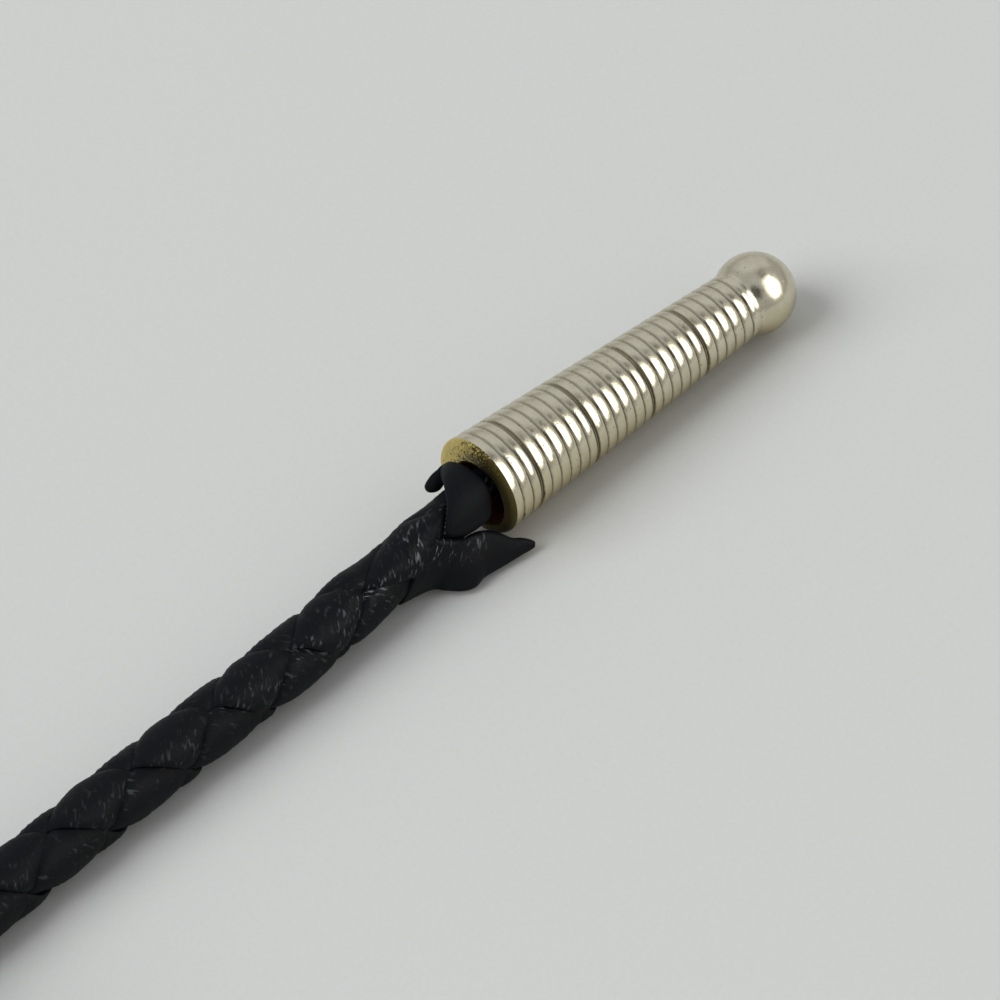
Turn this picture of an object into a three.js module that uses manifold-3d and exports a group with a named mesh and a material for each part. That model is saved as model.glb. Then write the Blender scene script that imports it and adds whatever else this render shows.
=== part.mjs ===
// A bolo tie laid on a table: one braided leather cord drawn double through a
// plain oval slide, with a ribbed metal tip on each of its two free tails.
// Millimetres, +Z up. The origin is the centre of the slide's flat back, which
// rests on the table. The tails run towards +X and the neck loop towards -X.

import * as THREE from 'three';
import { mergeVertices } from 'three/addons/utils/BufferGeometryUtils.js';
import Module from 'manifold-3d';

const wasm = await Module();
wasm.setup();

// Cord: four strands braided round, and the space it keeps from what holds it.
const cordDiameter = 4;
const cordClearance = 0.3;
const tableClearance = 0.03;

// Tips: a tapered barrel with turned ribs, open at the mouth, closed by a ball.
const tipLength = 25.4;
const mouthWall = 0.9;
const neckDiameter = 4.3;
const ballDiameter = 5.1;
const socketDepth = 7;
const ribCount = 27;
const ribDepth = 0.09;
const bandGrooveDepth = 0.22;
const ribsPerBand = 6;
const firstBandRib = 3;
const mouthChamfer = 0.15;

// Slide: a domed oval plate on a guide block with two channels for the cord.
const plateLength = 38;
const plateWidth = 28;
const plateEdge = 1.8;
const rimWidth = 1.6;
const rimStep = 0.5;
const domeHeight = 2.6;
const guideLength = 16;
const guideWall = 1.1;
const guideMiddleWall = 2;
const plateSeat = 0.4;

// Places of the two mouths: how far each lies from the slide, and which way its
// tail points, measured from +X towards +Y.
const tailAMouth = { x: 71.5, y: 0, heading: 0 };
const tailBMouth = { x: 48, y: 48.2, heading: 60 };

// Neck loop: its reach from the slide and its greatest half width.
const loopReach = 336.4;
const loopHalfWidth = 72;

// Facets
const cordSides = 10;
const cordStep = 9.5;
const tipSides = 20;
const ballSteps = 7;
const plateSides = 40;
const domeSteps = 5;
const channelSides = 16;

// Sizes that follow from those above
const cordRadius = cordDiameter / 2;
const channelDiameter = cordDiameter + 2 * cordClearance;
const socketRadius = channelDiameter / 2;
const mouthRadius = socketRadius + mouthWall;
const ballRadius = ballDiameter / 2;
const neckRadius = neckDiameter / 2;
const ballCentre = tipLength - ballRadius;
const barrelLength = ballCentre - Math.sqrt(ballRadius ** 2 - neckRadius ** 2);
const channelSpacing = channelDiameter + guideMiddleWall;
const guideWidth = channelSpacing + channelDiameter + 2 * guideWall;
const guideHeight = channelDiameter + 2 * guideWall;
const channelHeight = guideHeight / 2;
const cordHeight = cordRadius + tableClearance;
const jointGap = cordClearance;

// A tip lies on its mouth's rim and on its ball, so its axis drops towards the ball.
const tipTilt = Math.asin((mouthRadius - ballRadius) / ballCentre);
const mouthHeight = mouthRadius * Math.cos(tipTilt);

const leather = new THREE.MeshStandardMaterial({ color: 0x141213, roughness: 0.5, metalness: 0 });
const nickelPlate = new THREE.MeshStandardMaterial({ color: 0xb9b5a4, roughness: 0.25, metalness: 1 });

const group = new THREE.Group();

function addPiece(name, geometry, material) {
  const mesh = new THREE.Mesh(geometry, material);
  mesh.name = name;
  group.add(mesh);
  return mesh;
}

function merged(geometry) {
  const bare = geometry.clone();
  bare.deleteAttribute('normal');
  bare.deleteAttribute('uv');
  return mergeVertices(bare, 1e-5);
}

function solidOf(geometry) {
  const closed = merged(geometry);
  return new wasm.Manifold(new wasm.Mesh({
    numProp: 3,
    vertProperties: new Float32Array(closed.attributes.position.array),
    triVerts: new Uint32Array(closed.index.array),
  }));
}

function geometryOf(solid) {
  const mesh = solid.getMesh();
  const geometry = new THREE.BufferGeometry();
  geometry.setAttribute('position', new THREE.BufferAttribute(mesh.vertProperties, 3));
  geometry.setIndex(new THREE.BufferAttribute(mesh.triVerts, 1));
  geometry.computeVertexNormals();
  return geometry;
}

// One tip, along +X from its mouth at the origin. The profile runs from the
// socket's floor out over the mouth, along the ribs and over the ball.
function tipGeometry() {
  const profile = [
    new THREE.Vector2(0, socketDepth),
    new THREE.Vector2(socketRadius, socketDepth),
    new THREE.Vector2(socketRadius, 0),
    new THREE.Vector2(mouthRadius - mouthChamfer, 0),
    new THREE.Vector2(mouthRadius, mouthChamfer),
  ];
  const pitch = barrelLength / ribCount;
  for (let rib = 1; rib <= ribCount; rib += 1) {
    const endsBand = rib % ribsPerBand === firstBandRib;
    const depth = endsBand ? bandGrooveDepth : ribDepth;
    for (const [place, cut] of [[rib - 0.5, 0], [rib, depth]]) {
      const along = place * pitch;
      const radius = THREE.MathUtils.lerp(mouthRadius, neckRadius, along / barrelLength);
      profile.push(new THREE.Vector2(radius - cut, along));
    }
  }
  const start = Math.acos((ballCentre - barrelLength) / ballRadius);
  for (let step = 1; step <= ballSteps; step += 1) {
    const turn = start + (Math.PI - start) * (step / ballSteps);
    const radius = step === ballSteps ? 0 : ballRadius * Math.sin(turn);
    profile.push(new THREE.Vector2(radius, ballCentre - ballRadius * Math.cos(turn)));
  }
  const geometry = new THREE.LatheGeometry(profile, tipSides);
  geometry.rotateZ(-Math.PI / 2);
  return geometry;
}

function addTip(name, mouth) {
  const tip = addPiece(name, tipGeometry(), nickelPlate);
  tip.rotation.set(0, tipTilt, THREE.MathUtils.degToRad(mouth.heading), 'ZYX');
  tip.position.set(mouth.x, mouth.y, mouthHeight);
}

// The slide is one solid: the guide block, drilled twice, under the oval plate.
function slideGeometry() {
  const radius = plateLength / 2;
  const inner = radius - rimWidth;
  const back = guideHeight - plateSeat;
  const profile = [
    new THREE.Vector2(0, back),
    new THREE.Vector2(radius, back),
    new THREE.Vector2(radius, back + plateEdge),
    new THREE.Vector2(radius - rimWidth / 2, back + plateEdge + rimStep),
    new THREE.Vector2(inner, back + plateEdge),
  ];
  for (let step = 1; step <= domeSteps; step += 1) {
    const turn = (Math.PI / 2) * (step / domeSteps);
    const across = step === domeSteps ? 0 : inner * Math.cos(turn);
    profile.push(new THREE.Vector2(across, back + plateEdge + domeHeight * Math.sin(turn)));
  }
  const plate = new THREE.LatheGeometry(profile, plateSides);
  plate.rotateX(Math.PI / 2);
  plate.scale(1, plateWidth / plateLength, 1);
  const block = new THREE.BoxGeometry(guideLength, guideWidth, guideHeight);
  block.translate(0, 0, guideHeight / 2);
  let slide = solidOf(plate).add(solidOf(block));
  for (const side of [-1, 1]) {
    const channel = new THREE.CylinderGeometry(
      channelDiameter / 2, channelDiameter / 2, guideLength + 2, channelSides);
    channel.rotateZ(Math.PI / 2);
    channel.translate(0, side * channelSpacing / 2, channelHeight);
    slide = slide.subtract(solidOf(channel));
  }
  return geometryOf(slide);
}

// A point on the cord's way into a tip, a distance before its mouth and a
// height above the tip's own axis.
function atMouth(mouth, before, above = 0) {
  const heading = THREE.MathUtils.degToRad(mouth.heading);
  return [
    mouth.x - before * Math.cos(heading),
    mouth.y - before * Math.sin(heading),
    mouthHeight + before * Math.tan(tipTilt) + above,
  ];
}

// A point on the cord's way out of a channel, on one side of the slide: a
// distance past the guide block, a shift outwards and a height above the table.
function atGuide(end, side, past, out, height) {
  return [end * (guideLength / 2 + past), side * (channelSpacing / 2 + out), height];
}

const lifted = channelHeight - cordHeight;

// Tail A, nearly straight, from the slide to the tip.
const tailARoute = [
  atGuide(1, -1, jointGap / 2, 0, channelHeight),
  atGuide(1, -1, 5, 0, cordHeight + 0.9 * lifted),
  atGuide(1, -1, 10, -0.05, cordHeight + 0.5 * lifted),
  atGuide(1, -1, 15, -0.25, cordHeight + 0.12 * lifted),
  [28.3, -2.75, cordHeight],
  [33.8, -2.35, cordHeight],
  [39.3, -2.0, cordHeight],
  [44.8, -1.75, cordHeight],
  [50.2, -1.5, cordHeight],
  [55.2, -1.3, cordHeight],
  [59.6, -0.95, cordHeight + 0.05],
  [63.4, -0.5, cordHeight + 0.4],
  [66.9, -0.14, cordHeight + 0.88],
  atMouth(tailAMouth, 1.5),
  atMouth(tailAMouth, -1),
  atMouth(tailAMouth, -4),
  atMouth(tailAMouth, jointGap - socketDepth),
];

// Tail B turns aside from tail A.
const tailBRoute = [
  atGuide(1, 1, jointGap / 2, 0, channelHeight),
  atGuide(1, 1, 4.5, 0.05, cordHeight + 0.9 * lifted),
  atGuide(1, 1, 8.9, 0.65, cordHeight + 0.5 * lifted),
  atGuide(1, 1, 13, 2.3, cordHeight + 0.12 * lifted),
  [24.6, 8.3, cordHeight],
  [27.8, 11.8, cordHeight],
  [30.6, 15.8, cordHeight],
  [33.3, 20.1, cordHeight],
  [35.9, 24.5, cordHeight],
  [38.5, 29.2, cordHeight],
  [41, 34.1, cordHeight],
  atMouth(tailBMouth, 12, -1.42),
  atMouth(tailBMouth, 8, -1.05),
  atMouth(tailBMouth, 4.6, -0.45),
  atMouth(tailBMouth, 1.5),
  atMouth(tailBMouth, -1),
  atMouth(tailBMouth, -4),
  atMouth(tailBMouth, jointGap - socketDepth),
];

// The neck loop's way round, from the channel beside tail A to the other one:
// shares of the loop's reach and of its half width, towards -X and -Y.
const loopShares = [
  [0.105, 0.1], [0.145, 0.165], [0.195, 0.27], [0.255, 0.405], [0.325, 0.56],
  [0.405, 0.72], [0.49, 0.86], [0.58, 0.955], [0.67, 1], [0.755, 0.985],
  [0.83, 0.9], [0.9, 0.74], [0.955, 0.51], [0.99, 0.24], [1, -0.06],
  [0.985, -0.34], [0.945, -0.59], [0.885, -0.79], [0.81, -0.92], [0.725, -0.975],
  [0.635, -0.965], [0.545, -0.9], [0.455, -0.79], [0.37, -0.645], [0.293, -0.485],
  [0.225, -0.335], [0.17, -0.218], [0.127, -0.14], [0.095, -0.092],
];

// The loop's way through one channel of the slide and down to the table.
function loopStart(side) {
  return [
    atGuide(1, side, -jointGap / 2, 0, channelHeight),
    atGuide(1, side, -guideLength / 4, 0, channelHeight),
    [0, side * channelSpacing / 2, channelHeight],
    atGuide(-1, side, -guideLength / 4, 0, channelHeight),
    atGuide(-1, side, 0, 0, channelHeight),
    atGuide(-1, side, 6, 0.15, cordHeight + 0.78 * lifted),
    atGuide(-1, side, 12, 0.8, cordHeight + 0.22 * lifted),
  ];
}

const neckLoopRoute = [
  ...loopStart(-1),
  ...loopShares.map(([along, across]) => [-along * loopReach, -across * loopHalfWidth, cordHeight]),
  ...loopStart(1).reverse(),
];

function cordGeometry(route) {
  const points = route.map(([x, y, z]) => new THREE.Vector3(x, y, z));
  const curve = new THREE.CatmullRomCurve3(points, false, 'catmullrom', 0.5);
  curve.arcLengthDivisions = 2000;
  const section = new THREE.Shape();
  for (let side = 0; side < cordSides; side += 1) {
    const turn = (side / cordSides) * 2 * Math.PI;
    const x = cordRadius * Math.cos(turn);
    const y = cordRadius * Math.sin(turn);
    if (side === 0) section.moveTo(x, y);
    else section.lineTo(x, y);
  }
  section.closePath();
  const steps = Math.round(curve.getLength() / cordStep);
  return new THREE.ExtrudeGeometry(section, { extrudePath: curve, steps, curveSegments: 1 });
}

addPiece('slide', slideGeometry(), nickelPlate);
addPiece('neck_loop', cordGeometry(neckLoopRoute), leather);
addPiece('tail_a_cord', cordGeometry(tailARoute), leather);
addTip('tip_a', tailAMouth);
addPiece('tail_b_cord', cordGeometry(tailBRoute), leather);
addTip('tip_b', tailBMouth);

export default group;
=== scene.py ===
# A bolo tie laid flat: one braided leather cord drawn double through a domed oval slide, with a ribbed
# metal tip on each free tail. Metres, in the frame of the CAD model: the origin is the centre of the
# slide's flat back, the tails run towards +X, the neck loop towards -X, and +Z is up.

import math

import bpy
import numpy as np
from mathutils import Matrix, Vector


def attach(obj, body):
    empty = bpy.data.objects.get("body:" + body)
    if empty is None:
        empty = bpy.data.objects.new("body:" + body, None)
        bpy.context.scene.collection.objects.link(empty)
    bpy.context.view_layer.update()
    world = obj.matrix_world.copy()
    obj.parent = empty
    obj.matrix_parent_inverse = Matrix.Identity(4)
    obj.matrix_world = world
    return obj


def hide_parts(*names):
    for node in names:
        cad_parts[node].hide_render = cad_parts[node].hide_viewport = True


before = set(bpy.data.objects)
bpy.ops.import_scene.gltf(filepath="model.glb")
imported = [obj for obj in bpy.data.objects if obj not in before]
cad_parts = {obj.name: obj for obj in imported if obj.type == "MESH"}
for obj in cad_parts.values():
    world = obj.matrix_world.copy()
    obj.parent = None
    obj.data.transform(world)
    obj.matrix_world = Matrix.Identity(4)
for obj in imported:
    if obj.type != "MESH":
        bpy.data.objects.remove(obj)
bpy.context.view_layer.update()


# Camera: 34 cm from the mouth of the seen tip and 50 degrees above the table, with a long lens. The tip
# points up to the right of the picture, and the tail runs out at its lower left.

MM = 0.001
CAMERA_PLACE = (-77.67, -159.02, 261.79)    # millimetres
LENS_LENGTH = 208.6
SENSOR_WIDTH = 36
picture_right = Vector((0.725, -0.688, 0)).normalized()
level_ahead = Vector((0.688, 0.725, 0)).normalized()
looking_down = math.radians(50)
ahead = level_ahead * math.cos(looking_down) - Vector((0, 0, math.sin(looking_down)))
lens = bpy.data.cameras.new("photo_camera")
lens.lens = LENS_LENGTH
lens.sensor_width = SENSOR_WIDTH
camera = bpy.data.objects.new("photo_camera", lens)
turned = Matrix((picture_right, picture_right.cross(ahead), -ahead)).transposed().to_4x4()
camera.matrix_world = Matrix.Translation(Vector(CAMERA_PLACE) * MM) @ turned
bpy.context.collection.objects.link(camera)
bpy.context.scene.camera = camera
bpy.context.scene.view_settings.view_transform = "Standard"


# Table top: a large flat sheet of pale warm grey matt card that everything lies on. It is no part of the
# bolo tie.

TABLE_SIDE = 4              # metres
TOOTH_SIZE = 0.3 * MM


def linear(colour):
    """An sRGB hex colour as linear red, green, blue and alpha."""
    shares = [int(colour[at:at + 2], 16) / 255 for at in (1, 3, 5)]
    return [s / 12.92 if s <= 0.04045 else ((s + 0.055) / 1.055) ** 2.4 for s in shares] + [1]


def add_node(tree, kind, inputs=None, **settings):
    """One shader node with its settings; an input is given a value, or another node's output. A
    MapRange node reads the range in its inputs 1 and 2 and gives the range in 3 and 4, a Mix node
    mixes the colours in 6 and 7 by the share in 0, and a Mapping node turns by 2 and scales by 3."""
    made = tree.nodes.new("ShaderNode" + kind)
    for name, value in settings.items():
        setattr(made, name, value)
    for socket, value in (inputs or {}).items():
        if isinstance(value, bpy.types.NodeSocket):
            tree.links.new(value, made.inputs[socket])
        else:
            made.inputs[socket].default_value = value
    return made


def start_material(name, metallic, roughness):
    """A new material, its node tree and its shader."""
    material = bpy.data.materials.new(name)
    material.use_nodes = True
    shader = material.node_tree.nodes["Principled BSDF"]
    shader.inputs["Metallic"].default_value = metallic
    shader.inputs["Roughness"].default_value = roughness
    return material, material.node_tree, shader


bpy.ops.object.select_all(action="DESELECT")
bpy.ops.mesh.primitive_plane_add(size=TABLE_SIDE)
table_top = bpy.context.object
table_top.name = "table_top"

# Matt card: uncoated paper board, with a fine tooth that keeps it from looking like plastic
card, tree, shader = start_material("matt_card", 0, 0.85)
place = add_node(tree, "TexCoord").outputs["Object"]
tooth = add_node(tree, "TexNoise", {"Vector": place, "Scale": 1 / TOOTH_SIZE, "Detail": 2})
tone = add_node(tree, "Mix", {0: tooth.outputs[0], 6: linear("#d5d6d2"), 7: linear("#dcddd9")},
                data_type="RGBA")
tree.links.new(tone.outputs[2], shader.inputs["Base Color"])
relief = add_node(tree, "Bump", {"Height": tooth.outputs[0], "Strength": 0.15, "Distance": 0.02 * MM})
tree.links.new(relief.outputs[0], shader.inputs["Normal"])
table_top.data.materials.append(card)


# Studio light: a wide soft box high at the picture's upper left gives the soft shadows to the lower
# right. A window at the right and a bright far wall show only in the metal, the window as the glint
# along it. The room is pale, apart from a dark beam over the table and the dark camera stand, which
# the metal mirrors as its darker bands.

BEAM_DIRECTION = (0.42, -0.02, 0.90)
STAND_DIRECTION = (-0.46, -0.46, 0.76)
ROOM_BRIGHTNESS = 0.84
TIP_MIDDLE = Vector((80, 0, 3)) * MM

world = bpy.data.worlds.new("pale_room")
world.use_nodes = True
bpy.context.scene.world = world
tree = world.node_tree
room = tree.nodes["Background"]
direction = add_node(tree, "TexCoord").outputs["Generated"]
up = add_node(tree, "SeparateXYZ", {0: direction})
height = add_node(tree, "MapRange", {0: up.outputs[2], 1: -0.1, 2: 0.9, 3: 0, 4: 1})
walls = add_node(tree, "Mix", {0: height.outputs[0], 6: linear("#b5b3ae"), 7: linear("#d2d4d8")},
                 data_type="RGBA")
from_beam = add_node(tree, "VectorMath", {0: direction, 1: BEAM_DIRECTION}, operation="DISTANCE")
beam = add_node(tree, "MapRange", {0: from_beam.outputs["Value"], 1: 0.16, 2: 0.28, 3: 0.8, 4: 0})
from_stand = add_node(tree, "VectorMath", {0: direction, 1: STAND_DIRECTION}, operation="DISTANCE")
stand = add_node(tree, "MapRange", {0: from_stand.outputs["Value"], 1: 0.3, 2: 0.42, 3: 0.92, 4: 0})
dark = add_node(tree, "Math", {0: beam.outputs[0], 1: stand.outputs[0]}, operation="MAXIMUM")
room_tone = add_node(tree, "Mix", {0: dark.outputs[0], 6: walls.outputs[2], 7: linear("#332d2c")},
                     data_type="RGBA")
tree.links.new(room_tone.outputs[2], room.inputs[0])
room.inputs[1].default_value = ROOM_BRIGHTNESS


def add_light(name, towards, distance, width, height, power, colour, shape="RECTANGLE"):
    """A flat soft light that shines on the seen tip from a direction. Sizes in metres, power in watts."""
    lamp = bpy.data.lights.new(name, "AREA")
    lamp.shape = shape
    lamp.size = width
    lamp.size_y = height
    lamp.energy = power
    lamp.color = linear(colour)[:3]
    light = bpy.data.objects.new(name, lamp)
    away = Vector(towards).normalized()
    along_tip = (Vector((1, 0, 0)) - away * away.x).normalized()
    facing_tip = Matrix((along_tip, away.cross(along_tip), away)).transposed().to_4x4()
    light.matrix_world = Matrix.Translation(TIP_MIDDLE + away * distance) @ facing_tip
    bpy.context.collection.objects.link(light)
    return light


soft_box = add_light("soft_box", (-0.70, 0.32, 0.64), distance=3, width=2.1, height=2.1, power=72,
                     colour="#fbfcff")
soft_box.visible_glossy = False
window = add_light("window", (0.442, -0.640, 0.629), distance=1.2, width=0.9, height=1.35, power=8.2,
                   colour="#fffdf8", shape="ELLIPSE")
window.visible_diffuse = False
far_wall = add_light("far_wall", (0.46, 0.66, 0.59), distance=1.2, width=1.5, height=1.1, power=1.1,
                     colour="#f4f6ff")
far_wall.visible_diffuse = False


# Cord: round bolo cord, four black-dyed leather strands plaited round each other, 4 mm across. It is one
# cord on the real tie; its three stretches here meet in the slide, with 0.3 mm between them.

CORD_RADIUS = 2.0 * MM
PLAIT_PITCH = 12.3 * MM     # one whole turn of a strand
MEAN_RADIUS = 1.71 * MM     # of a strand's outer face, between over and under
LIFT = 0.29 * MM            # how far a strand rises over and dips under
STEEPNESS = 2.1             # how suddenly it does
CROWN = 0.09 * MM           # how much lower a strand's edges are than its middle
ROLLED_EDGE = 0.21 * MM     # how much lower still where its cut edges roll in
STRAND_THICKNESS = 0.75 * MM
THIN_EDGES = 0.6            # how much of it is lost at a strand's edges
STRAND_PER_CORD = 1.35      # a strand's length for each length of cord
FACE_RADIUS = 1.8           # millimetres, for the width of a strand's face on its UV map
LAY_ALONG = 0.74            # cosine and sine of the angle between a strand and the cord
LAY_ACROSS = 0.67
SLACK = 0.07                # radians that a strand wavers to either side
SLACK_WAVES = (700, 1130)   # radians a metre
OWN_HIDE = (37, 11)         # how far apart the strands' UV maps lie, so that no two look alike
RIPPLES = ((900, 0.018), (2600, 0.014), (7000, 0.009))      # radians a metre, millimetres deep
# The four below set the pale strokes on the creases, which are rub wear and painted highlights together
EVEN_GLINT_RUB = 0.3              # how rubbed a stretch is whose sides are all rubbed alike
LEAST_GLINT_RUB = 0.04            # and one with a rubbed side, off that side
FAR_GLINT_RUB = 0.18              # how much more on that side, up to GLINT_RUB_STARTS
NEAR_GLINT_RUB = 0.82             # and how much more again at FULL_GLINT_RUB
POINTS_A_SPAN = 60          # between two points of a route

# The two pairs of strands, which lean to one side and to the other. One pair lies a little aside, and the
# other is drawn in a little tighter. For each: the lean, half a strand's width and how far it lies aside,
# in radians round the cord, how early it crosses, the lag of its crossings, and millimetres drawn in.
STRAND_PAIRS = (
    (-1, 0.983 * math.pi / 2, -0.155, 0.1, 0, 0),
    (1, 1.03 * math.pi / 2, 0, 0.087, -0.18, 0.07),
)

# Millimetres, as the routes of the cord are. Past LAST_PLAIT on tail A the plait is drawn out, and from
# GLINT_RUB_STARTS to FULL_GLINT_RUB its glinting side gets more and more pale strokes, which are rub wear
# and painted highlights alike.
LAST_PLAIT = 53.5
LAST_PLAIT_LENGTH = 4
GLINT_RUB_STARTS = 40
FULL_GLINT_RUB = 57
COME_OUT_LENGTH = 3
GUIDE_FRONT = 8.0           # how far the slide's guide reaches
CHANNEL_SIDE = 3.3          # how far to either side its channels lie
CHANNEL_HEIGHT = 3.4
CORD_HEIGHT = 2.03          # of the cord's middle where it lies on the table
MOUTH_RADIUS = 3.2
BALL_RADIUS = 2.55
BALL_CENTRE = 22.85
TIP_TILT = math.asin((MOUTH_RADIUS - BALL_RADIUS) / BALL_CENTRE)
MOUTH_HEIGHT = MOUTH_RADIUS * math.cos(TIP_TILT)
LIFTED = CHANNEL_HEIGHT - CORD_HEIGHT       # in the slide, over its height on the table
TIP_A_MOUTH = (71.5, 0, 0)          # x, y and heading in degrees
TIP_B_MOUTH = (48, 48.2, 60)


def at_mouth(mouth, before, above=0):
    """A point on the cord's way into a tip, before its mouth and above its axis."""
    heading = math.radians(mouth[2])
    return (mouth[0] - before * math.cos(heading), mouth[1] - before * math.sin(heading),
            MOUTH_HEIGHT + before * math.tan(TIP_TILT) + above)


def at_guide(end, side, past, out, height):
    """A point on the cord's way out of one channel of the slide."""
    return (end * (GUIDE_FRONT + past), side * (CHANNEL_SIDE + out), height)


def smooth_line(route, step):
    """Evenly spaced points in metres on the smooth line through a route in millimetres."""
    route = np.array(route) * MM
    padded = np.vstack((2 * route[0] - route[1], route, 2 * route[-1] - route[-2]))
    share = np.linspace(0, 1, POINTS_A_SPAN, endpoint=False)[:, None]
    spans = []
    for a, b, c, d in zip(padded, padded[1:], padded[2:], padded[3:]):
        spans.append(0.5 * (2 * b + (c - a) * share + (2 * a - 5 * b + 4 * c - d) * share ** 2
                            + (3 * b - a - 3 * c + d) * share ** 3))
    dense = np.vstack(spans + [route[-1:]])
    run = np.concatenate(([0], np.cumsum(np.linalg.norm(np.diff(dense, axis=0), axis=1))))
    places = np.linspace(0, run[-1], round(run[-1] / step) + 1)
    return np.column_stack([np.interp(places, run, dense[:, axis]) for axis in range(3)]), places


def around(line, places, run, turn, radius):
    """Points round the cord: how far along, the turn from straight up towards the left, the radius."""
    tangent = np.gradient(line, axis=0)
    tangent /= np.linalg.norm(tangent, axis=1)[:, None]
    left = np.cross((0, 0, 1), tangent)
    left /= np.linalg.norm(left, axis=1)[:, None]
    top = np.cross(tangent, left)
    middle, left, top = [np.stack([np.interp(run, places, part[:, axis]) for axis in range(3)], axis=-1)
                         for part in (line, left, top)]
    return middle + radius[..., None] * (np.cos(turn)[..., None] * top + np.sin(turn)[..., None] * left)


def mesh_from_grid(name, grids, uv_grids):
    """One mesh of closed strands. Each grid is rings by points by xyz, and its ends are capped."""
    points, faces, uvs, first = [], [], [], 0
    for grid, uv in zip(grids, uv_grids):
        rings, around_count = grid.shape[:2]
        points.append(grid.reshape(-1, 3))
        for ring in range(rings - 1):
            for side in range(around_count):
                near = first + ring * around_count
                far = near + around_count
                after = (side + 1) % around_count
                faces.append((near + side, far + side, far + after, near + after))
                uvs += [uv[ring, side], uv[ring + 1, side], uv[ring + 1, side + 1], uv[ring, side + 1]]
        for ring, order in ((0, range(around_count)), (rings - 1, range(around_count - 1, -1, -1))):
            faces.append(tuple(first + ring * around_count + side for side in order))
            uvs += [uv[ring, side] for side in order]
        first += rings * around_count
    mesh = bpy.data.meshes.new(name)
    mesh.from_pydata(np.vstack(points).tolist(), [], faces)
    layer = mesh.uv_layers.new(name="strand_mm")
    layer.data.foreach_set("uv", np.array(uvs).ravel())
    mesh.shade_smooth()
    piece = bpy.data.objects.new(name, mesh)
    bpy.context.collection.objects.link(piece)
    return piece


def eased(share):
    """A share from 0 to 1 that starts and ends gently."""
    share = np.clip(share, 0, 1)
    return share * share * (3 - 2 * share)


def braid(name, route, step, across, plait_at, facing, twist=0, come_out=(), glint_and_rub_side=None,
          drawn_out=0):
    """Four strands plaited round a line. plait_at is where along it one plait lies on top, facing is
    that plait's turn from straight up, twist turns the whole plait along the cord, and across is how
    many points span a strand. come_out lists where a strand leaves the plait, which is thinner past
    there: the run, the side's turn and the share of the radius that goes. glint_and_rub_side is the turn
    of the side with the most pale strokes, rub wear and painted highlights, and there the most near
    the cord's far end. drawn_out is how much longer the last plait is."""
    line, places = smooth_line(route, step)
    climb = 2 * math.pi / PLAIT_PITCH
    outer = np.sin(np.linspace(-1, 1, across) * math.pi / 2)
    inner = np.linspace(0.9, -0.9, across // 2)
    share = np.concatenate((outer, inner))
    is_outer = np.concatenate((np.ones(across), np.zeros(across // 2)))
    run, share = np.meshgrid(places, share, indexing="ij")
    past = run - plait_at - drawn_out * eased((run / MM - LAST_PLAIT) / LAST_PLAIT_LENGTH)
    chance = np.random.default_rng(7)
    grids, uv_grids, glint_rubs = [], [], []
    for lean, half_width, aside, early, lag, sunk in STRAND_PAIRS:
        for half_turn in (0, 1):
            slack = SLACK * np.sin(run * SLACK_WAVES[0] + 2 * half_turn + lean)
            slack *= np.sin(run * SLACK_WAVES[1] + 3 * lean)
            turn = facing + half_turn * math.pi + aside + share * half_width + slack
            turn += lean * climb * past + twist * past
            crossing = -lean * np.cos(share * half_width + aside + lean * 2 * climb * past - lag)
            over = np.where(crossing > early, (crossing - early) / (1 - early),
                            (crossing - early) / (1 + early))
            over = np.tanh(STEEPNESS * over) / math.tanh(STEEPNESS)
            # A strand is crowned across and rolls in at its cut edges
            crown = CROWN * np.abs(share) ** 2.4 + ROLLED_EDGE * np.abs(share) ** 11
            radius = MEAN_RADIUS - sunk * MM + LIFT * over - crown
            # Uneven hide: slow swells, and finer ones on them
            for waves, depth in RIPPLES:
                ripple = chance.uniform(0, 6.28, 2)
                radius += depth * MM * np.sin(run * waves + ripple[0] + 1.7 * share) * np.sin(
                    run * waves * 0.63 + ripple[1] - 2.3 * share)
            radius = np.minimum(radius, CORD_RADIUS)
            radius -= (1 - is_outer) * STRAND_THICKNESS * (1 - THIN_EDGES * share ** 2)
            for leaves_at, side, lost in come_out:
                gone = eased((run / MM - leaves_at) / COME_OUT_LENGTH)
                radius *= 1 - lost * gone * np.clip(np.cos(turn - math.radians(side)), 0, 1) ** 0.7
            grids.append(around(line, places, run, turn, radius))
            # Pale strokes, rub wear and painted highlights, mostly on the side where the window glints
            glint_rub = np.full(run.shape, EVEN_GLINT_RUB)
            if glint_and_rub_side is not None:
                near_end = np.clip((run / MM - GLINT_RUB_STARTS) / (FULL_GLINT_RUB - GLINT_RUB_STARTS), 0, 1)
                that_side = np.clip(np.cos(turn - math.radians(glint_and_rub_side)), 0, 1) ** 8
                glint_rub = LEAST_GLINT_RUB + (FAR_GLINT_RUB + NEAR_GLINT_RUB * near_end) * that_side
            glint_rubs.append(glint_rub.ravel())
            width = share * half_width * FACE_RADIUS
            length = run / MM * STRAND_PER_CORD + lean * width * LAY_ACROSS
            uv = np.stack((length + OWN_HIDE[0] * half_turn, width * LAY_ALONG + OWN_HIDE[1] * lean),
                          axis=-1)
            uv_grids.append(np.concatenate((uv, uv[:, :1]), axis=1))
    piece = mesh_from_grid(name, grids, uv_grids)
    piece.data.attributes.new("glint_and_rub", "FLOAT", "POINT").data.foreach_set("value", np.concatenate(glint_rubs))
    return piece, line
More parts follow.
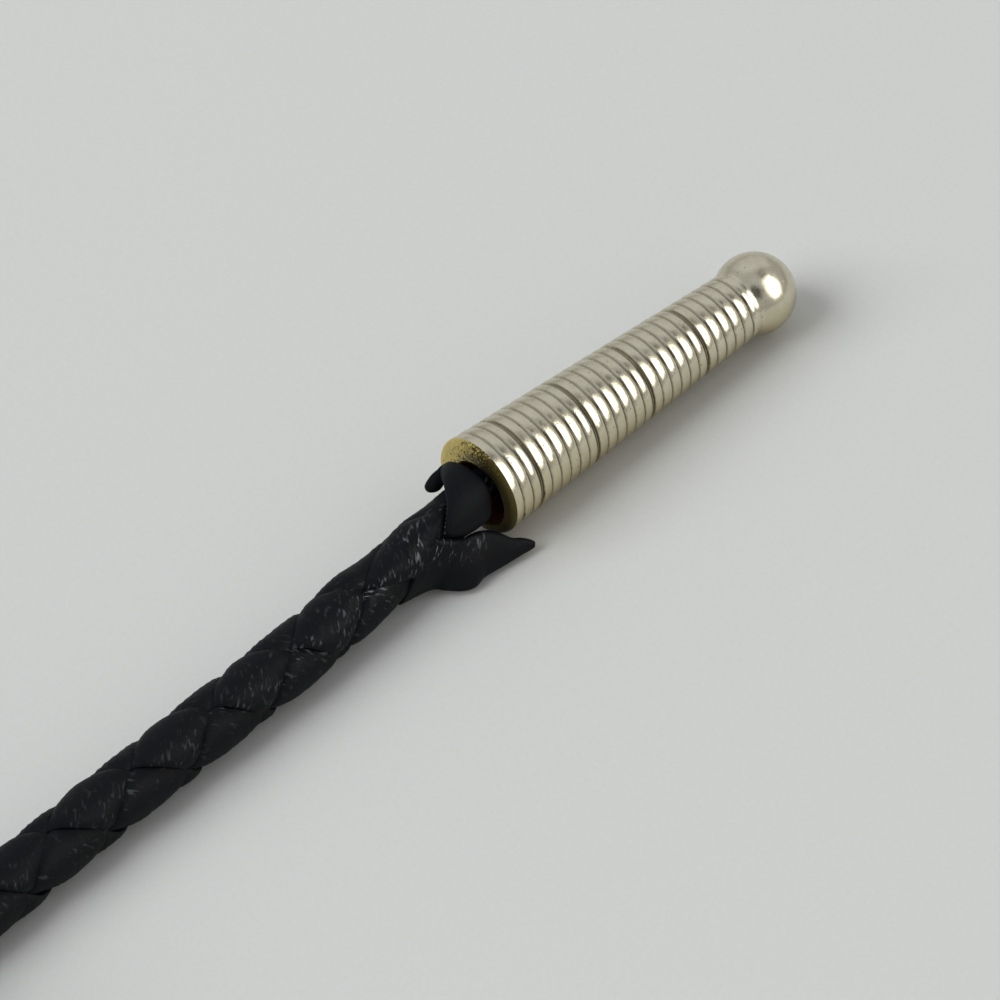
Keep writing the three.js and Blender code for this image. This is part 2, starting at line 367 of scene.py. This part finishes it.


# Black-dyed leather strand: vegetable-tanned hide cut to flat lace, dyed and waxed. It is dull and very
# dark, with a faint sheen; bending round the plait creases its face across, and the creases carry short
# pale strokes in the colour, partly rub wear and partly painted highlights where the window glints.
# Pores are 0.17 mm, creases 0.2 by 0.6 mm, patches 1.8 mm.
leather, tree, shader = start_material("black_dyed_leather", 0, 0.5)
shader.inputs["Specular IOR Level"].default_value = 0.1
strand = add_node(tree, "UVMap", uv_map="strand_mm").outputs[0]
glint_and_rub_mask = add_node(tree, "Attribute", attribute_name="glint_and_rub").outputs["Fac"]
grain = add_node(tree, "TexNoise", {"Vector": strand, "Scale": 6, "Detail": 3, "Roughness": 0.65})
patch = add_node(tree, "TexNoise", {"Vector": strand, "Scale": 0.55, "Detail": 2})
patchy = add_node(tree, "MapRange", {0: patch.outputs[0], 1: 0.44, 2: 0.55, 3: 0.06, 4: 1})
creased_and_glinting = add_node(tree, "Math", {0: patchy.outputs[0], 1: glint_and_rub_mask}, operation="MULTIPLY")
crease_place = add_node(tree, "Mapping", {0: strand, 2: (0, 0, 0.35), 3: (4.6, 1.7, 1)})
crease = add_node(tree, "TexNoise", {"Vector": crease_place.outputs[0], "Scale": 1, "Detail": 1,
                                     "Distortion": 0.35})
pale_glint_line = add_node(tree, "MapRange", {0: crease.outputs[0], 1: 0.565, 2: 0.69, 3: 0, 4: 0.95})
glint_and_rub = add_node(tree, "Math", {0: pale_glint_line.outputs[0], 1: creased_and_glinting.outputs[0]}, operation="MULTIPLY")
dye = add_node(tree, "Mix", {0: patch.outputs[0], 6: linear("#0a0e15"), 7: linear("#121212")},
               data_type="RGBA")
# Painted highlights: the pale strokes on the creases stand for glints as well as rub wear
worn_and_glinting = add_node(tree, "Mix", {0: glint_and_rub.outputs[0], 6: dye.outputs[2], 7: linear("#80868c")},
                data_type="RGBA")
tree.links.new(worn_and_glinting.outputs[2], shader.inputs["Base Color"])
waxed = add_node(tree, "MapRange", {0: creased_and_glinting.outputs[0], 1: 0.2, 2: 0.8, 3: 0.55, 4: 0.32})
tree.links.new(waxed.outputs[0], shader.inputs["Roughness"])
crease_height = add_node(tree, "Math", {0: crease.outputs[0], 1: creased_and_glinting.outputs[0]},
                         operation="MULTIPLY")
creases = add_node(tree, "Bump", {"Height": crease_height.outputs[0], "Strength": 0.8,
                                  "Distance": 0.13 * MM})
pores = add_node(tree, "Bump", {"Height": grain.outputs[0], "Strength": 0.6, "Distance": 0.05 * MM,
                                "Normal": creases.outputs[0]})
tree.links.new(pores.outputs[0], shader.inputs["Normal"])

# Tail A, nearly straight, from the slide into the seen tip
tail_a_route = [
    at_guide(1, -1, 0.15, 0, CHANNEL_HEIGHT),
    at_guide(1, -1, 5, 0, CORD_HEIGHT + 0.9 * LIFTED),
    at_guide(1, -1, 10, -0.05, CORD_HEIGHT + 0.5 * LIFTED),
    at_guide(1, -1, 15, -0.25, CORD_HEIGHT + 0.12 * LIFTED),
    (28.3, -2.75, CORD_HEIGHT),
    (33.8, -2.35, CORD_HEIGHT),
    (39.3, -2.0, CORD_HEIGHT),
    (44.8, -1.75, CORD_HEIGHT),
    (50.2, -1.5, CORD_HEIGHT),
    (55.2, -1.3, CORD_HEIGHT),
    (59.6, -0.95, CORD_HEIGHT + 0.05),
    (63.4, -0.5, CORD_HEIGHT + 0.4),
    (66.9, -0.14, CORD_HEIGHT + 0.88),
    at_mouth(TIP_A_MOUTH, 1.5),
    at_mouth(TIP_A_MOUTH, -1),
    at_mouth(TIP_A_MOUTH, -4),
    at_mouth(TIP_A_MOUTH, -6.7),
]
TAIL_A_STEP = 0.16 * MM
leaving_strands = [(52.6, 62, 0.25), (57.4, 62, 0.3), (60, -95, 0.55)]
tail_a, tail_a_line = braid("braided_tail_a", tail_a_route, TAIL_A_STEP, across=17,
                            plait_at=44.25 * MM, facing=math.radians(-5.8),
                            twist=math.radians(-1270), come_out=leaving_strands, glint_and_rub_side=-42,
                            drawn_out=1 * MM)
tail_a.data.materials.append(leather)
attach(tail_a, "root")
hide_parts("tail_a_cord")


END_STEP = 0.12             # millimetres between the rings of a strand end
END_SIDES = 20
CUT_EDGE = 0.4              # how square its edges are: 1 is round, 0 is square
NARROW_END = (0.45, 0.1)    # its thickness where it is narrow: a share of its width, and millimetres
END_SWELL = 0.05            # how much fuller its middle is, as a share of its width


def leather_end(name, rows, thickness, glint_and_rub_to):
    """A cut strand end, lofted through pairs of points on its two edges, in millimetres. It is fuller
    down its middle and has rounded edges, and its first edge has pale strokes, rub wear and painted
    highlights, up to a share of its length."""
    near, far = [smooth_line([row[edge] for row in rows], END_STEP * MM)[0] for edge in (0, 1)]
    rings = min(len(near), len(far))
    near, far = [edge[np.linspace(0, len(edge) - 1, rings).round().astype(int)] for edge in (near, far)]
    along = np.gradient((near + far) / 2, axis=0)
    away = np.cross(far - near, along)
    away /= np.maximum(np.linalg.norm(away, axis=1), 1e-9)[:, None]
    width = np.linalg.norm(far - near, axis=1)
    swing = np.linspace(0, 2 * math.pi, END_SIDES, endpoint=False)
    across = (1 - np.cos(swing)) / 2
    height = np.sign(np.sin(swing)) * np.abs(np.sin(swing)) ** CUT_EDGE / 2
    thick = np.minimum(thickness * MM, NARROW_END[0] * width + NARROW_END[1] * MM)
    rise = height[None, :, None] * thick[:, None, None] * away[:, None, :]
    grid = near[:, None, :] * (1 - across)[None, :, None] + far[:, None, :] * across[None, :, None] + rise
    swell = np.sin(across * math.pi)[None, :] * END_SWELL * width[:, None]
    grid += swell[..., None] * away[:, None, :]
    run = np.arange(rings)[:, None] * END_STEP + 4 * len(rows) + 0 * swing[None, :]
    uv = np.stack((run, width[:, None] / MM * across[None, :]), axis=-1)
    piece = mesh_from_grid(name, [grid], [np.concatenate((uv, uv[:, :1]), axis=1)])
    # Pale strokes, rub wear and painted highlights, on the first edge
    reach = np.clip((glint_and_rub_to - np.linspace(0, 1, rings)) * 8, 0, 1)
    glint_rub = reach[:, None] * np.clip(1.4 - across * 3, 0, 1)[None, :]
    piece.data.attributes.new("glint_and_rub", "FLOAT", "POINT").data.foreach_set("value", glint_rub.ravel())
    return piece


def on_cord(run, turn, radius):
    """A point on tail A in millimetres: its run from the slide, degrees from the top, and radius."""
    line, places = smooth_line(tail_a_route, TAIL_A_STEP)
    place = around(line, places, np.array([run * MM]), np.radians([turn]), np.array([radius * MM]))
    return tuple(place[0] / MM)


# Two strand ends at the seen tip's mouth were never tucked in. One lies over the cord and curls up in a
# hook beside the mouth; the other lies out along the table, past the mouth's rim, and ends in a point.
hook_rows = [
    (on_cord(59.2, -100, 1.2), on_cord(62.4, -112, 1.75)),
    (on_cord(59.3, -74, 1.65), on_cord(62.7, -92, 1.98)),
    (on_cord(59.4, -54, 1.98), on_cord(62.8, -70, 2.03)),
    (on_cord(60.0, -36, 2.06), on_cord(63.0, -48, 2.06)),
    (on_cord(60.55, -20, 2.06), on_cord(63.0, -27, 2.06)),
    (on_cord(61.0, -3, 1.98), on_cord(62.85, -1, 2.04)),
    (on_cord(61.4, 14, 1.8), on_cord(62.75, 20, 2.1)),
    (on_cord(61.75, 34, 1.6), on_cord(62.75, 40, 2.1)),
    (on_cord(61.98, 52, 1.36), on_cord(62.7, 55, 2.08)),
    (on_cord(61.72, 60, 1.18), on_cord(62.3, 59, 2.16)),
    (on_cord(61.35, 61, 1.18), on_cord(61.85, 60, 2.17)),
    (on_cord(61.08, 61, 1.32), on_cord(61.45, 60, 2.1)),
    (on_cord(60.93, 61, 1.47), on_cord(61.1, 60, 1.98)),
    (on_cord(60.88, 61, 1.64), on_cord(60.95, 60, 1.86)),
]
point_rows = [
    (on_cord(57.4, -58, 1.55), on_cord(54.8, -126, 1.93)),
    ((66.5, -1.75, 4.0), (65.5, -2.12, 0.6)),
    ((67.4, -2.15, 3.6), (66.2, -2.76, 0.5)),
    ((68.3, -2.2, 3.1), (66.85, -3.36, 0.4)),
    ((69.1, -2.15, 2.85), (67.55, -3.69, 0.35)),
    ((69.8, -2.3, 2.6), (68.45, -3.5, 0.35)),
    ((70.5, -2.68, 2.2), (69.3, -3.55, 0.35)),
    ((71.2, -3.13, 1.5), (70.2, -3.64, 0.35)),
    ((71.8, -3.4, 1.2), (71.2, -3.75, 0.38)),
    ((72.2, -3.68, 0.98), (71.85, -3.88, 0.42)),
    ((72.38, -3.86, 0.8), (72.2, -3.98, 0.5)),
]
hooked_end = leather_end("hooked_strand_end", hook_rows, 0.5, 0)
pointed_end = leather_end("pointed_strand_end", point_rows, 0.6, 0.6)
for strand_end in (hooked_end, pointed_end):
    strand_end.data.materials.append(leather)
    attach(strand_end, "root")

# Tail B turns aside from tail A
tail_b_route = [
    at_guide(1, 1, 0.15, 0, CHANNEL_HEIGHT),
    at_guide(1, 1, 4.5, 0.05, CORD_HEIGHT + 0.9 * LIFTED),
    at_guide(1, 1, 8.9, 0.65, CORD_HEIGHT + 0.5 * LIFTED),
    at_guide(1, 1, 13, 2.3, CORD_HEIGHT + 0.12 * LIFTED),
    (24.6, 8.3, CORD_HEIGHT),
    (27.8, 11.8, CORD_HEIGHT),
    (30.6, 15.8, CORD_HEIGHT),
    (33.3, 20.1, CORD_HEIGHT),
    (35.9, 24.5, CORD_HEIGHT),
    (38.5, 29.2, CORD_HEIGHT),
    (41, 34.1, CORD_HEIGHT),
    at_mouth(TIP_B_MOUTH, 12, -1.42),
    at_mouth(TIP_B_MOUTH, 8, -1.05),
    at_mouth(TIP_B_MOUTH, 4.6, -0.45),
    at_mouth(TIP_B_MOUTH, 1.5),
    at_mouth(TIP_B_MOUTH, -1),
    at_mouth(TIP_B_MOUTH, -4),
    at_mouth(TIP_B_MOUTH, -6.7),
]
tail_b, tail_b_line = braid("braided_tail_b", tail_b_route, step=0.2 * MM, across=13,
                            plait_at=20 * MM, facing=math.radians(40))
tail_b.data.materials.append(leather)
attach(tail_b, "root")
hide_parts("tail_b_cord")

# Neck loop: from tail A's channel round the neck and back into the other channel
LOOP_REACH = 336.4
LOOP_HALF_WIDTH = 72
# Shares of its reach towards -X and of its half width towards -Y
loop_shares = [
    (0.105, 0.1), (0.145, 0.165), (0.195, 0.27), (0.255, 0.405), (0.325, 0.56),
    (0.405, 0.72), (0.49, 0.86), (0.58, 0.955), (0.67, 1), (0.755, 0.985),
    (0.83, 0.9), (0.9, 0.74), (0.955, 0.51), (0.99, 0.24), (1, -0.06),
    (0.985, -0.34), (0.945, -0.59), (0.885, -0.79), (0.81, -0.92), (0.725, -0.975),
    (0.635, -0.965), (0.545, -0.9), (0.455, -0.79), (0.37, -0.645), (0.293, -0.485),
    (0.225, -0.335), (0.17, -0.218), (0.127, -0.14), (0.095, -0.092),
]


def loop_start(side):
    """The loop's way through one channel of the slide and down to the table."""
    return [
        at_guide(1, side, -0.15, 0, CHANNEL_HEIGHT),
        at_guide(1, side, -4, 0, CHANNEL_HEIGHT),
        (0, side * CHANNEL_SIDE, CHANNEL_HEIGHT),
        at_guide(-1, side, -4, 0, CHANNEL_HEIGHT),
        at_guide(-1, side, 0, 0, CHANNEL_HEIGHT),
        at_guide(-1, side, 6, 0.15, CORD_HEIGHT + 0.78 * LIFTED),
        at_guide(-1, side, 12, 0.8, CORD_HEIGHT + 0.22 * LIFTED),
    ]


neck_route = loop_start(-1)
neck_route += [(-along * LOOP_REACH, -aside * LOOP_HALF_WIDTH, CORD_HEIGHT) for along, aside in loop_shares]
neck_route += loop_start(1)[::-1]
neck_loop = braid("braided_neck_loop", neck_route, step=0.62 * MM, across=9, plait_at=0, facing=0)[0]
neck_loop.data.materials.append(leather)
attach(neck_loop, "root")
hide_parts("neck_loop")


# Tips: two turned brass ferrules, nickel plated, glued over the ends of the cord. Each tapers from its
# open mouth to a ball, with fine ribs cut round it and a deeper double groove after the third rib and
# then after every sixth.

NECK_RADIUS = 2.15
SOCKET_RADIUS = 2.15
SOCKET_DEPTH = 7
RIB_COUNT = 27
RIBS_PER_BAND = 6
FIRST_BAND_RIB = 3
LIP = 0.3                   # how far the rounded lip stands before the mouth
TIP_SIDES = 112
BALL_STEPS = 28
DRILL_DRIFT = (0, -0.87, -0.5)      # the way the off-centre drill ran
FULL_TARNISH = 0.12         # how deep a cut is that is tarnished all over
BARREL = BALL_CENTRE - math.sqrt(BALL_RADIUS ** 2 - NECK_RADIUS ** 2)

# Profile of a fine cut and of a deeper double one: along from its middle, and depth, in millimetres
fine_cut = [(-0.3, 0.002), (-0.21, 0.007), (-0.13, 0.019), (-0.08, 0.042), (0, 0.11), (0.08, 0.042),
            (0.13, 0.019), (0.21, 0.007), (0.3, 0.002)]
band_cut = [(-0.34, 0.002), (-0.26, 0.009), (-0.19, 0.04), (-0.1, 0.17), (-0.02, 0.09),
            (0.05, 0.15), (0.12, 0.03), (0.2, 0.01), (0.3, 0.002)]


def cone_radius(along):
    """The barrel's radius between its cuts."""
    return MOUTH_RADIUS + (NECK_RADIUS - MOUTH_RADIUS) * along / BARREL


# From the socket's bottom out round the lip, over the ribs to the ball
tip_profile = [(SOCKET_DEPTH, 0), (SOCKET_DEPTH, 2.0), (SOCKET_DEPTH - 0.15, SOCKET_RADIUS),
               (0.9, SOCKET_RADIUS), (0.1, SOCKET_RADIUS), (-0.12, SOCKET_RADIUS + 0.03),
               (-0.24, SOCKET_RADIUS + 0.12), (-LIP, 2.5), (-LIP, 2.7), (-0.25, MOUTH_RADIUS - 0.28),
               (-0.15, MOUTH_RADIUS - 0.13), (0, MOUTH_RADIUS - 0.04), (0.12, MOUTH_RADIUS - 0.01)]
for rib in range(1, RIB_COUNT):
    cut_middle = rib * BARREL / RIB_COUNT
    tip_profile.append((cut_middle - 0.4, cone_radius(cut_middle - 0.4) + 0.002))
    for beside, depth in band_cut if rib % RIBS_PER_BAND == FIRST_BAND_RIB else fine_cut:
        tip_profile.append((cut_middle + beside, cone_radius(cut_middle + beside) - depth))
tip_profile.append((BARREL - 0.4, cone_radius(BARREL - 0.4)))
tip_profile.append((BARREL - 0.14, NECK_RADIUS - 0.04))
ball_start = math.acos((BALL_CENTRE - BARREL) / BALL_RADIUS) + 0.03
for step in range(BALL_STEPS + 1):
    swing = ball_start + (math.pi - ball_start) * step / BALL_STEPS
    tip_profile.append((BALL_CENTRE - BALL_RADIUS * math.cos(swing), max(0, BALL_RADIUS * math.sin(swing))))


def lathe(name, profile, steps):
    """A piece turned about the X axis, from a profile of distances along it and radii in millimetres."""
    bpy.ops.object.select_all(action="DESELECT")
    bpy.ops.mesh.primitive_plane_add(size=MM)
    piece = bpy.context.object
    piece.name = name
    bpy.ops.object.mode_set(mode="EDIT")
    bpy.ops.mesh.merge(type="CENTER")
    bpy.ops.transform.translate(value=(profile[0][0] * MM, 0, profile[0][1] * MM))
    for (along, radius), (next_along, next_radius) in zip(profile, profile[1:]):
        step = ((next_along - along) * MM, 0, (next_radius - radius) * MM)
        bpy.ops.mesh.extrude_vertices_move(TRANSFORM_OT_translate={"value": step})
    bpy.ops.mesh.select_all(action="SELECT")
    bpy.ops.mesh.spin(steps=steps, angle=2 * math.pi, center=(0, 0, 0), axis=(1, 0, 0))
    bpy.ops.mesh.select_all(action="SELECT")
    bpy.ops.mesh.remove_doubles(threshold=0.004 * MM)
    bpy.ops.mesh.normals_make_consistent(inside=False)
    bpy.ops.object.mode_set(mode="OBJECT")
    return piece


# Nickel plate over brass, turned and polished bright, then worn by years of handling: it is warmer and
# softer than chrome, with tarnish left in the cuts, tiny pits and a faint mottled bloom. Its upper side
# has a thin matt film and less tarnish. Its lower side is painted browner and darker, as painted shade
# and a painted warm reflection of the table. The bloom is 0.9 mm across, the mottle 0.3 mm, the pits
# 0.45 mm apart and the lathe's lines 0.07 mm apart.
nickel, tree, shader = start_material("worn_nickel_plate", 1, 0.2)
turned_place = add_node(tree, "Attribute", attribute_name="turned_mm").outputs["Vector"]
cut = add_node(tree, "Attribute", attribute_name="cut_depth").outputs["Fac"]
bloom = add_node(tree, "TexNoise", {"Vector": turned_place, "Scale": 1.1, "Detail": 4, "Roughness": 0.65})
mottle = add_node(tree, "TexNoise", {"Vector": turned_place, "Scale": 3.4, "Detail": 3})
fresh = add_node(tree, "Mix", {0: bloom.outputs[0], 6: linear("#bdb59a"), 7: linear("#e0dbc8")},
                 data_type="RGBA")
# Painted shade: the plate turns browner and darker towards its lower side
shaded_low_side = add_node(tree, "VectorMath", {0: turned_place, 1: (0, -0.28, -0.2)}, operation="DOT_PRODUCT")
painted_shade_share = add_node(tree, "MapRange", {0: shaded_low_side.outputs["Value"], 1: 0.35, 2: 1.0, 3: 0, 4: 0.75})
plate = add_node(tree, "Mix", {0: painted_shade_share.outputs[0], 6: fresh.outputs[2], 7: linear("#bba97a")},
                 data_type="RGBA")
tarnish_edge = add_node(tree, "Math", {0: mottle.outputs[0], 1: 0.5, 2: cut}, operation="MULTIPLY_ADD")
in_cuts = add_node(tree, "MapRange", {0: tarnish_edge.outputs[0], 1: 0.5, 2: 1.2, 3: 0, 4: 0.8})
less_above = add_node(tree, "MapRange", {0: shaded_low_side.outputs["Value"], 1: -0.5, 2: 0.5, 3: 0.5, 4: 1})
tarnished = add_node(tree, "Math", {0: in_cuts.outputs[0], 1: less_above.outputs[0]},
                     operation="MULTIPLY")
browned = add_node(tree, "Mix", {0: tarnished.outputs[0], 6: plate.outputs[2], 7: linear("#40392b")},
                   data_type="RGBA")
pit_cells = add_node(tree, "TexVoronoi", {"Vector": turned_place, "Scale": 2.2})
pitted = add_node(tree, "MapRange", {0: pit_cells.outputs["Distance"], 1: 0.05, 2: 0.13, 3: 0.8, 4: 0})
spotted = add_node(tree, "Mix", {0: pitted.outputs[0], 6: browned.outputs[2], 7: linear("#5d503b")},
                   data_type="RGBA")
tree.links.new(spotted.outputs[2], shader.inputs["Base Color"])
dull = add_node(tree, "MapRange", {0: mottle.outputs[0], 1: 0.3, 2: 0.75, 3: 0.14, 4: 0.26})
film = add_node(tree, "MapRange", {0: shaded_low_side.outputs["Value"], 1: -0.5, 2: 0.3, 3: 0.08, 4: 0})
filmed = add_node(tree, "Math", {0: dull.outputs[0], 1: film.outputs[0]}, operation="ADD")
tree.links.new(filmed.outputs[0], shader.inputs["Roughness"])
lathe_stretch = add_node(tree, "Mapping", {0: turned_place, 3: (14, 0.5, 0.5)})
lathe_lines = add_node(tree, "TexNoise", {"Vector": lathe_stretch.outputs[0], "Scale": 1, "Detail": 2})
lined = add_node(tree, "Bump", {"Height": lathe_lines.outputs[0], "Strength": 0.25,
                                "Distance": 0.02 * MM})
dents = add_node(tree, "Bump", {"Height": mottle.outputs[0], "Strength": 0.2, "Distance": 0.05 * MM,
                                "Normal": lined.outputs[0]})
pits = add_node(tree, "Bump", {"Height": pitted.outputs[0], "Strength": 0.5, "Distance": 0.03 * MM,
                               "Normal": dents.outputs[0]}, invert=True)
tree.links.new(pits.outputs[0], shader.inputs["Normal"])

# Bare brass at the mouth, where the plating has worn off: yellow, with dark olive tarnish in 0.2 mm specks.
# The olive is painted heavier towards its side away from the soft box, as painted shade.
brass, tree, shader = start_material("bare_tarnished_brass", 1, 0.42)
turned_place = add_node(tree, "Attribute", attribute_name="turned_mm").outputs["Vector"]
speck = add_node(tree, "TexNoise", {"Vector": turned_place, "Scale": 6, "Detail": 4, "Roughness": 0.75})
# Painted shade: the dark olive grows towards the lower side, away from the soft box
shaded_lower_side = add_node(tree, "VectorMath", {0: turned_place, 1: (0, -0.085, -0.02)},
                      operation="DOT_PRODUCT")
stained_and_shaded = add_node(tree, "Math", {0: speck.outputs[0], 1: shaded_lower_side.outputs["Value"]}, operation="ADD")
olive_and_shade = add_node(tree, "MapRange", {0: stained_and_shaded.outputs[0], 1: 0.33, 2: 0.46, 3: 0, 4: 0.95})
worn_brass = add_node(tree, "Mix", {0: olive_and_shade.outputs[0], 6: linear("#e2cf80"), 7: linear("#3a331b")},
                      data_type="RGBA")
tree.links.new(worn_brass.outputs[2], shader.inputs["Base Color"])
rough_brass = add_node(tree, "Bump", {"Height": speck.outputs[0], "Strength": 0.8,
                                      "Distance": 0.12 * MM})
tree.links.new(rough_brass.outputs[0], shader.inputs["Normal"])

# Inside of the socket: brass under old brown glue in 0.7 mm smears, dull, dark and red-brown, its colour
# painted lighter than the glue, as painted light in the shaded socket
glued, tree, shader = start_material("brown_glued_brass", 0.4, 0.6)
turned_place = add_node(tree, "Attribute", attribute_name="turned_mm").outputs["Vector"]
smear = add_node(tree, "TexNoise", {"Vector": turned_place, "Scale": 1.5, "Detail": 3})
glue_with_painted_light = add_node(tree, "Mix", {0: smear.outputs[0], 6: linear("#5a321d"), 7: linear("#b06c3e")},
                data_type="RGBA")
tree.links.new(glue_with_painted_light.outputs[2], shader.inputs["Base Color"])
smears = add_node(tree, "Bump", {"Height": smear.outputs[0], "Strength": 0.6, "Distance": 0.1 * MM})
tree.links.new(smears.outputs[0], shader.inputs["Normal"])


def add_tip(name, mouth, node, off_centre):
    """One tip, turned along +X and then laid on its mouth's rim and its ball. off_centre is how far, in
    millimetres, the drill for its socket ran off to the lower right."""
    tip = lathe(name, tip_profile, TIP_SIDES)
    local = np.empty(len(tip.data.vertices) * 3)
    tip.data.vertices.foreach_get("co", local)
    local = local.reshape(-1, 3) / MM
    bored = (np.hypot(local[:, 1], local[:, 2]) < SOCKET_RADIUS + 0.16) & (local[:, 0] < SOCKET_DEPTH + 0.1)
    local[bored] += np.array(DRILL_DRIFT) * off_centre
    tip.data.vertices.foreach_set("co", (local * MM).ravel())
    radius = np.hypot(local[:, 1], local[:, 2])
    depth = np.clip((cone_radius(local[:, 0]) - radius) / FULL_TARNISH, 0, 1)
    depth *= local[:, 0] < BARREL + 0.05
    tip.data.attributes.new("turned_mm", "FLOAT_VECTOR", "POINT").data.foreach_set("vector", local.ravel())
    tip.data.attributes.new("cut_depth", "FLOAT", "POINT").data.foreach_set("value", depth)
    for material in (nickel, brass, glued):
        tip.data.materials.append(material)
    for face in tip.data.polygons:
        along = face.center.x / MM
        across = math.hypot(face.center.y, face.center.z) / MM
        if along < 0.06 and face.normal.x < -0.1:
            face.material_index = 1
        elif along < SOCKET_DEPTH + 0.01 and across < SOCKET_RADIUS + 0.4:
            face.material_index = 2
    bpy.ops.object.shade_smooth_by_angle(angle=math.radians(38))
    laid = Matrix.Rotation(math.radians(mouth[2]), 4, "Z") @ Matrix.Rotation(TIP_TILT, 4, "Y")
    tip.matrix_world = Matrix.Translation(Vector((mouth[0], mouth[1], MOUTH_HEIGHT)) * MM) @ laid
    bpy.ops.object.transform_apply(location=True, rotation=True, scale=True)
    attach(tip, "root")
    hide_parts(node)


add_tip("ribbed_tip_a", TIP_A_MOUTH, "tip_a", 0.42)
add_tip("ribbed_tip_b", TIP_B_MOUTH, "tip_b", 0)


# Slide: a plain domed oval plate, cast and nickel plated, with a raised rim. The guide under it is a block
# drilled with two channels: the cord runs through them and holds by friction.

PLATE_WIDTH_SHARE = 28 / 38
PLATE_BACK = 6.4            # above the table
DOME_FOOT = 1.82            # above the plate's back
DOME_RISE = 2.58
DOME_RADIUS = 17.3
DOME_STEPS = 30
PLATE_SIDES = 144
GUIDE_SIZE = (16, 13.4, 6.8)
GUIDE_EDGE = 0.5            # rounded off
CHANNEL_RADIUS = 2.3

# Height above the plate's back and radius: its edge, then the raised rim
rim_profile = [(0, 0), (0, 18.6), (0.1, 18.85), (0.3, 19), (1.5, 19), (1.85, 18.93), (2.1, 18.72),
               (2.25, 18.45), (2.3, 18.2), (2.25, 17.95), (2.1, 17.68), (1.9, 17.45), (1.8, 17.32)]
plate_profile = [(PLATE_BACK + height, radius) for height, radius in rim_profile]
for step in range(1, DOME_STEPS + 1):
    swing = math.pi / 2 * step / DOME_STEPS
    height = PLATE_BACK + DOME_FOOT + DOME_RISE * math.sin(swing)
    plate_profile.append((height, DOME_RADIUS * math.cos(swing)))
slide = lathe("domed_slide", plate_profile, PLATE_SIDES)
slide.matrix_world = Matrix.Diagonal((1, PLATE_WIDTH_SHARE, 1, 1)) @ Matrix.Rotation(-math.pi / 2, 4, "Y")
bpy.ops.object.transform_apply(location=True, rotation=True, scale=True)

bpy.ops.object.select_all(action="DESELECT")
bpy.ops.mesh.primitive_cube_add(size=1, location=(0, 0, GUIDE_SIZE[2] / 2 * MM))
guide = bpy.context.object
guide.name = "guide_block"
guide.scale = Vector(GUIDE_SIZE) * MM
bpy.ops.object.transform_apply(location=True, rotation=True, scale=True)
soft_edges = guide.modifiers.new("soft_edges", "BEVEL")
soft_edges.width = GUIDE_EDGE * MM
soft_edges.segments = 4
bpy.ops.object.modifier_apply(modifier="soft_edges")
for side in (-1, 1):
    bpy.ops.object.select_all(action="DESELECT")
    bpy.ops.mesh.primitive_cylinder_add(vertices=64, radius=CHANNEL_RADIUS * MM, depth=20 * MM,
                                        location=(0, side * CHANNEL_SIDE * MM, CHANNEL_HEIGHT * MM),
                                        rotation=(0, math.pi / 2, 0))
    drill = bpy.context.object
    bpy.context.view_layer.objects.active = guide
    channel = guide.modifiers.new("channel", "BOOLEAN")
    channel.object = drill
    channel.solver = "EXACT"
    bpy.ops.object.modifier_apply(modifier="channel")
    bpy.data.objects.remove(drill)
bpy.ops.object.select_all(action="DESELECT")
guide.select_set(True)
slide.select_set(True)
bpy.context.view_layer.objects.active = slide
bpy.ops.object.join()
bpy.ops.object.shade_smooth_by_angle(angle=math.radians(30))

# Polished nickel plate on the casting: bright, with a slow 9 mm wave left by the buffing wheel, and
# hairlines 0.1 mm apart and 2.5 mm long
polished, tree, shader = start_material("polished_nickel_plate", 1, 0.16)
place = add_node(tree, "TexCoord").outputs["Object"]
buffed = add_node(tree, "TexNoise", {"Vector": place, "Scale": 1 / (9 * MM), "Detail": 3})
colour = add_node(tree, "Mix", {0: buffed.outputs[0], 6: linear("#c4bfae"), 7: linear("#d9d5c8")},
                  data_type="RGBA")
tree.links.new(colour.outputs[2], shader.inputs["Base Color"])
hair_stretch = add_node(tree, "Mapping", {0: place, 2: (0, 0, 0.5), 3: (400, 9000, 400)})
hairlines = add_node(tree, "TexNoise", {"Vector": hair_stretch.outputs[0], "Scale": 1, "Detail": 2})
satin = add_node(tree, "MapRange", {0: hairlines.outputs[0], 1: 0.35, 2: 0.75, 3: 0.12, 4: 0.26})
tree.links.new(satin.outputs[0], shader.inputs["Roughness"])
waved = add_node(tree, "Bump", {"Height": buffed.outputs[0], "Strength": 0.3, "Distance": 0.1 * MM})
haired = add_node(tree, "Bump", {"Height": hairlines.outputs[0], "Strength": 0.08,
                                 "Distance": 0.02 * MM, "Normal": waved.outputs[0]})
tree.links.new(haired.outputs[0], shader.inputs["Normal"])
slide.data.materials.clear()
slide.data.materials.append(polished)
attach(slide, "root")
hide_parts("slide")
